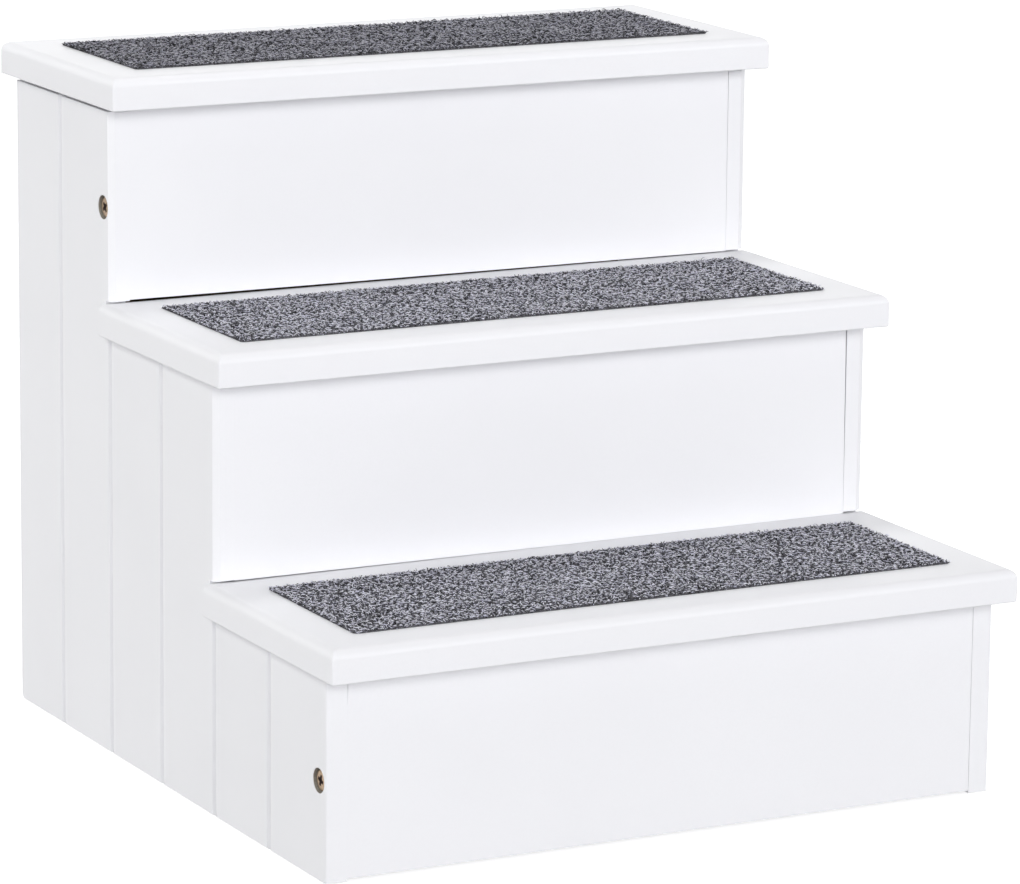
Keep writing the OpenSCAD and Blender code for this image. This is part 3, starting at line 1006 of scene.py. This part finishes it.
def fibres(
    k, name, count, segments, mat, seed, height, reach, width, tones, low, turn, dark=0.0, dye=1.0
):
    """count fibres, each a thin closed bent tube of three sides that ends in a tip. turn
    is how far a fibre curls round, dark the share of dark ones among the light."""
    rng = np.random.default_rng(seed)
    nx = int(math.sqrt(count * CW / CD)) + 1
    ny = int(count / nx) + 1
    i, j = np.meshgrid(np.arange(nx), np.arange(ny))
    x = (i.ravel() + rng.random(i.size)) / nx * CW - CW / 2
    y = (j.ravel() + rng.random(i.size)) / ny * CD
    pick = rng.permutation(len(x))[:count]
    pick.sort()
    x, y = x[pick], y[pick]
    n = len(x)
    rim = 0.45
    x = np.clip(x, -CW / 2 + rim, CW / 2 - rim)
    y = np.clip(y, rim, CD - rim)
    for sx in (-1, 1):  # round corners
        for cy in (CR, CD - CR):
            cx = sx * (CW / 2 - CR)
            dx, dy = x - cx, y - cy
            far = (dx * sx > 0) & ((dy < 0) if cy < CD / 2 else (dy > 0))
            far &= np.hypot(dx, dy) > CR - rim
            d = np.maximum(np.hypot(dx, dy), 1e-6)
            x = np.where(far, cx + dx * (CR - rim) / d, x)
            y = np.where(far, cy + dy * (CR - rim) / d, y)
    edge = np.minimum(np.minimum(x + CW / 2, CW / 2 - x), np.minimum(y, CD - y))
    tuft = tufts(x, y, 60 + k)
    swirl = 2 * np.pi * field(x, y, 14.0, seed + 1)
    phi = swirl + rng.normal(0, 1.5, n)
    long = rng.uniform(*reach, n) * (0.75 + 0.5 * field(x, y, 9.0, seed + 2))
    tall = rng.uniform(*height, n) * (0.50 + 0.72 * tuft) * (0.9 + 0.2 * field(x, y, 7.0, seed + 3))
    droop = rng.uniform(0.35, 1.05, n)
    # fibres along the cut edges lean out and hang over the root layer's side
    gaps = np.stack([x + CW / 2, CW / 2 - x, y, CD - y])
    outs = np.array([(-1, 0), (1, 0), (0, -1), (0, 1)], float)
    side = gaps.argmin(0)
    hang = (edge < 0.9) & (rng.random(n) < 0.75)
    phi = np.where(hang, np.arctan2(outs[side, 1], outs[side, 0]) + rng.normal(0, 0.6, n), phi)
    tall = np.where(hang, tall * rng.uniform(0.25, 0.85, n), tall)
    ux, uy = np.cos(phi), np.sin(phi)
    for gap, (ax, ay) in zip(gaps, outs):
        outward = np.maximum(ux * ax + uy * ay, 0)
        room = np.maximum(gap + 0.15, 0.25)
        long = np.where(outward * long > room, room / np.maximum(outward, 1e-6), long)
    curl = np.where(hang, 0.2, 1.0) * rng.normal(0, turn, n)
    steps = np.arange(segments + 1) / segments
    # the path turns steadily: add up the steps of a heading that goes round
    heading = phi[:, None] + curl[:, None] * (steps[None, 1:] - 0.5 / segments)
    stride = long[:, None] / segments * (0.5 + steps[None, 1:])
    path = np.zeros((n, segments + 1, 3))
    path[:, 1:, 0] = np.cumsum(stride * np.cos(heading), 1)
    path[:, 1:, 1] = np.cumsum(stride * np.sin(heading), 1)
    path[..., 0] += x[:, None]
    path[..., 1] += y[:, None]
    rise = np.sin(steps[None] * (np.pi / 2) * (1 + droop[:, None]))
    path[..., 2] = low + tall[:, None] * rise / np.maximum(rise.max(1, keepdims=True), 1e-6)
    path[..., 2] = np.maximum(path[..., 2], 0.3)
    if segments > 2:  # a crinkle
        wob = rng.normal(0, 0.13, (n, segments + 1, 3))
        wob[:, 0] = 0
        wob[..., 2] *= 0.6
        path += wob
    tangent = np.gradient(path, axis=1)
    tangent /= np.linalg.norm(tangent, axis=2, keepdims=True)
    ref = np.stack([-np.sin(phi), np.cos(phi), np.zeros(n)], -1)[:, None, :]
    e1 = ref - (ref * tangent).sum(2, keepdims=True) * tangent
    e1 /= np.maximum(np.linalg.norm(e1, axis=2, keepdims=True), 1e-6)
    e2 = np.cross(tangent, e1)
    radius = rng.uniform(*width, n)[:, None] * np.array([0.9] + [1.0] * (segments - 1))[None]
    spin = rng.uniform(0, 2 * np.pi, n)
    parts = []
    for s in range(segments):
        for q in range(3):
            a = spin + q * 2 * np.pi / 3
            parts.append(
                path[:, s]
                + radius[:, s, None] * (np.cos(a)[:, None] * e1[:, s] + np.sin(a)[:, None] * e2[:, s])
            )
    parts.append(path[:, segments])
    per = 3 * segments + 1
    verts = np.stack(parts, 1).reshape(-1, 3)
    verts[:, 2] = np.maximum(verts[:, 2], 0.03)
    faces, counts = [], []
    for s in range(segments - 1):
        for q in range(3):
            r = (q + 1) % 3
            faces.append([3 * s + q, 3 * s + r, 3 * s + 3 + r, 3 * s + 3 + q])
    last = 3 * (segments - 1)
    for q in range(3):
        faces.append([last + q, last + (q + 1) % 3, last + 3])
    faces.append([2, 1, 0])
    pattern = np.concatenate(faces)
    flat = (pattern[None] + per * np.arange(n)[:, None]).ravel()
    counts = np.tile([len(f) for f in faces], n)
    patch = 0.6 * field(x, y, 11.0, 70 + k) + 0.4 * field(x, y, 4.5, 80 + k)
    base, spread, patchy, tuft_shade = tones
    # painted shade and light: fibres in the gaps between tufts are darker, those on a tuft's top lighter
    tone = base + spread * rng.normal(0, 1, n) + patchy * (patch - 0.5) + tuft_shade * (tuft - 0.5)
    tone = np.where(rng.random(n) < dark, tone - 0.42, tone)
    # painted shade: fibres within 0.9 mm of the cut edges are a fifth darker
    tone = np.clip(tone * np.where(edge < 0.9, 0.80, 1.0), 0, 1)
    dyes = dye * np.clip(rng.normal(1.0, 0.06, n), 0.8, 1.2)
    up = np.clip(np.repeat(np.arange(segments + 1) / segments, 3)[: per], 0, 1)
    up[-1] = 1.0
    # each fibre has a cell of its own on the map: along it from left to right
    cells = int(math.ceil(math.sqrt(n)))
    ci, cj = np.arange(n) % cells, np.arange(n) // cells
    local = []
    for f in faces[:-1]:
        if len(f) == 4:
            s, q = f[0] // 3, f[0] % 3
            local += [(s, q), (s, q + 1), (s + 1, q + 1), (s + 1, q)]
        else:
            q = f[0] - last
            local += [(segments - 1, q), (segments - 1, q + 1), (segments, q + 0.5)]
    local += [(0, 2), (0, 1), (0, 0)]
    local = np.array(local, float)
    local[:, 0] = 0.16 + 0.68 * local[:, 0] / segments
    local[:, 1] = 0.16 + 0.68 * local[:, 1] / 3
    local[-3:] = [(0.10, 0.16), (0.16, 0.3), (0.10, 0.44)]
    uv = np.stack(
        [
            (ci[:, None] + local[None, :, 0]) / cells,
            (cj[:, None] + local[None, :, 1]) / cells,
        ],
        -1,
    ).reshape(-1, 2)
    verts[:, 1] += PLANE[k] - NOSE + FRONT + SHIFT
    verts[:, 2] += UNDER[k] + TREAD_T
    ob = object_of(
        name,
        raw_mesh(
            name, verts, flat, counts, mat,
            {"tone": np.repeat(tone, per), "rise": np.tile(up, n), "dye": np.repeat(dyes, per)}, uv,
        ),
    )
    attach(ob, "root")
    return ob


DYES = (1.12, 1.04, 0.63)  # the top strip is from a darker batch
SHADE = (0.0, 0.0, -0.06)  # and has more dark fibres

for k, word in enumerate(STEPS):
    base = strip_backing(k, f"{word}_carpet_strip")
    body = fibres(
        k, f"{word}_carpet_pile", 19800, 2, YARN_DARK, 100 + k,
        height=(0.55, 1.00), reach=(0.8, 2.0), width=(0.20, 0.28),
        tones=(0.27 + SHADE[k], 0.27, 0.26, 0.12), low=0.35, turn=0.9, dye=DYES[k],
    )
    curls = fibres(
        k, f"{word}_carpet_curls", 9050, 4, YARN_LIGHT, 200 + k,
        height=(0.20, 1.00), reach=(1.4, 3.0), width=(0.18, 0.26),
        tones=(0.99 + 2.0 * SHADE[k], 0.33, 0.38, 0.10), low=1.00, turn=1.3, dark=0.17, dye=DYES[k],
    )


# --------------------------------------------- fittings that keep their CAD shape
def paint(node, mat):
    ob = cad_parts[node]
    if not ob.material_slots:
        ob.data.materials.append(mat)
    for s in ob.material_slots:
        s.material = mat


for node in ("barrel_nuts", "cam_locks", "cam_bolts", "tread_screws", "cleat_screws", "board_pins"):
    paint(node, ZINC)
paint("dowels", WOOD_X)


# ------------------------------------------------------------- floor and light
def plane_mesh(name, size, z):
    bm = bmesh.new()
    bmesh.ops.create_grid(bm, x_segments=8, y_segments=8, size=size)
    bmesh.ops.translate(bm, verts=bm.verts, vec=(0, 0, z))
    return object_of(name, mesh_of(name, bm))


floor = plane_mesh("studio_floor", 40.0, -0.0003)
floor.data.materials.append(pale_floor("pale_studio_floor"))
floor.visible_diffuse = False  # the sky's lower half stands for the light off the floor
floor.visible_shadow = False

# the paper under the stair, inside its footprint, is in the stair's own shade
bm = bmesh.new()
bmesh.ops.create_grid(bm, x_segments=4, y_segments=4, size=1.0)
for v in bm.verts:
    v.co = (v.co.x * 0.1990, v.co.y * 0.1925 + 0.0125, -0.0002)
under_stair = object_of("floor_under_stair", mesh_of("floor_under_stair", bm))
under_stair.data.materials.append(pale_floor("pale_paper_in_shade", 0.0))

world = bpy.data.worlds.new("studio")
bpy.context.scene.world = world
world.use_nodes = True
tree = world.node_tree
sky = tree.nodes["Background"]
split = tree.nodes.new("ShaderNodeSeparateXYZ")
tree.links.new(tree.nodes.new("ShaderNodeTexCoord").outputs["Generated"], split.inputs[0])


def fade(axis, lo, hi, a, b):
    """A smooth step over one part of the sky's direction."""
    node = tree.nodes.new("ShaderNodeMapRange")
    node.interpolation_type = "SMOOTHSTEP"
    for key, value in (("From Min", lo), ("From Max", hi), ("To Min", a), ("To Max", b)):
        node.inputs[key].default_value = value
    tree.links.new(split.outputs[axis], node.inputs["Value"])
    return node.outputs["Result"]


def sky_math(op, a, b):
    node = tree.nodes.new("ShaderNodeMath")
    node.operation = op
    for k, value in enumerate((a, b)):
        if isinstance(value, bpy.types.NodeSocket):
            tree.links.new(value, node.inputs[k])
        else:
            node.inputs[k].default_value = value
    return node.outputs["Value"]


above, below = fade("Z", -0.02, 0.02, 0.0, 1.0), fade("Z", -0.02, 0.02, 1.0, 0.0)
low_band = fade("Z", 0.30, 0.50, 1.0, 0.0)
front_band = sky_math("MULTIPLY", fade("Z", 0.40, 0.52, 1.0, 0.0), fade("Y", -0.15, -0.75, 0.0, 1.0))
upper = sky_math("ADD", sky_math("MULTIPLY", low_band, 1.278), sky_math("MULTIPLY", front_band, 1.684))
upper = sky_math("MULTIPLY", above, sky_math("ADD", upper, 0.147))
lower = sky_math("MULTIPLY", fade("Y", -0.15, -0.75, 0.0, 1.0), 0.169)
lower = sky_math("MULTIPLY", below, sky_math("ADD", lower, 0.128))
tree.links.new(sky_math("ADD", upper, lower), sky.inputs["Strength"])
sky.inputs["Color"].default_value = (1.0, 1.0, 1.01, 1.0)


def softbox(name, place, target, size, power, colour=(1, 1, 1)):
    data = bpy.data.lights.new(name, "AREA")
    data.shape = "RECTANGLE"
    data.size, data.size_y = size
    data.energy = power
    data.color = colour
    ob = bpy.data.objects.new(name, data)
    bpy.context.scene.collection.objects.link(ob)
    place, target = Vector(place), Vector(target)
    ob.location = place
    ob.rotation_mode = "QUATERNION"
    ob.rotation_quaternion = (place - target).to_track_quat("Z", "Y")
    ob.visible_camera = False
    return ob


softbox("front_softbox", (0.5, -3.0, 1.60), (0, 0, 0.19), (2.8, 0.6), 8.9)
softbox("left_softbox", (-3.3, 0.0, 0.5), (0, 0, 0.19), (3.0, 1.0), 5.7)
softbox("top_softbox", (0.0, 0.45, 2.9), (0, 0, 0.19), (1.6, 0.6), 22.0)
softbox("upper_left_softbox", (-2.3, 0.1, 2.3), (0, 0, 0.19), (2.2, 0.8), 27.8, (1, 1, 0.96))

scene = bpy.context.scene
scene.view_settings.view_transform = "Standard"
scene.view_settings.look = "None"
scene.view_settings.exposure = 0.0
scene.view_settings.gamma = 1.0
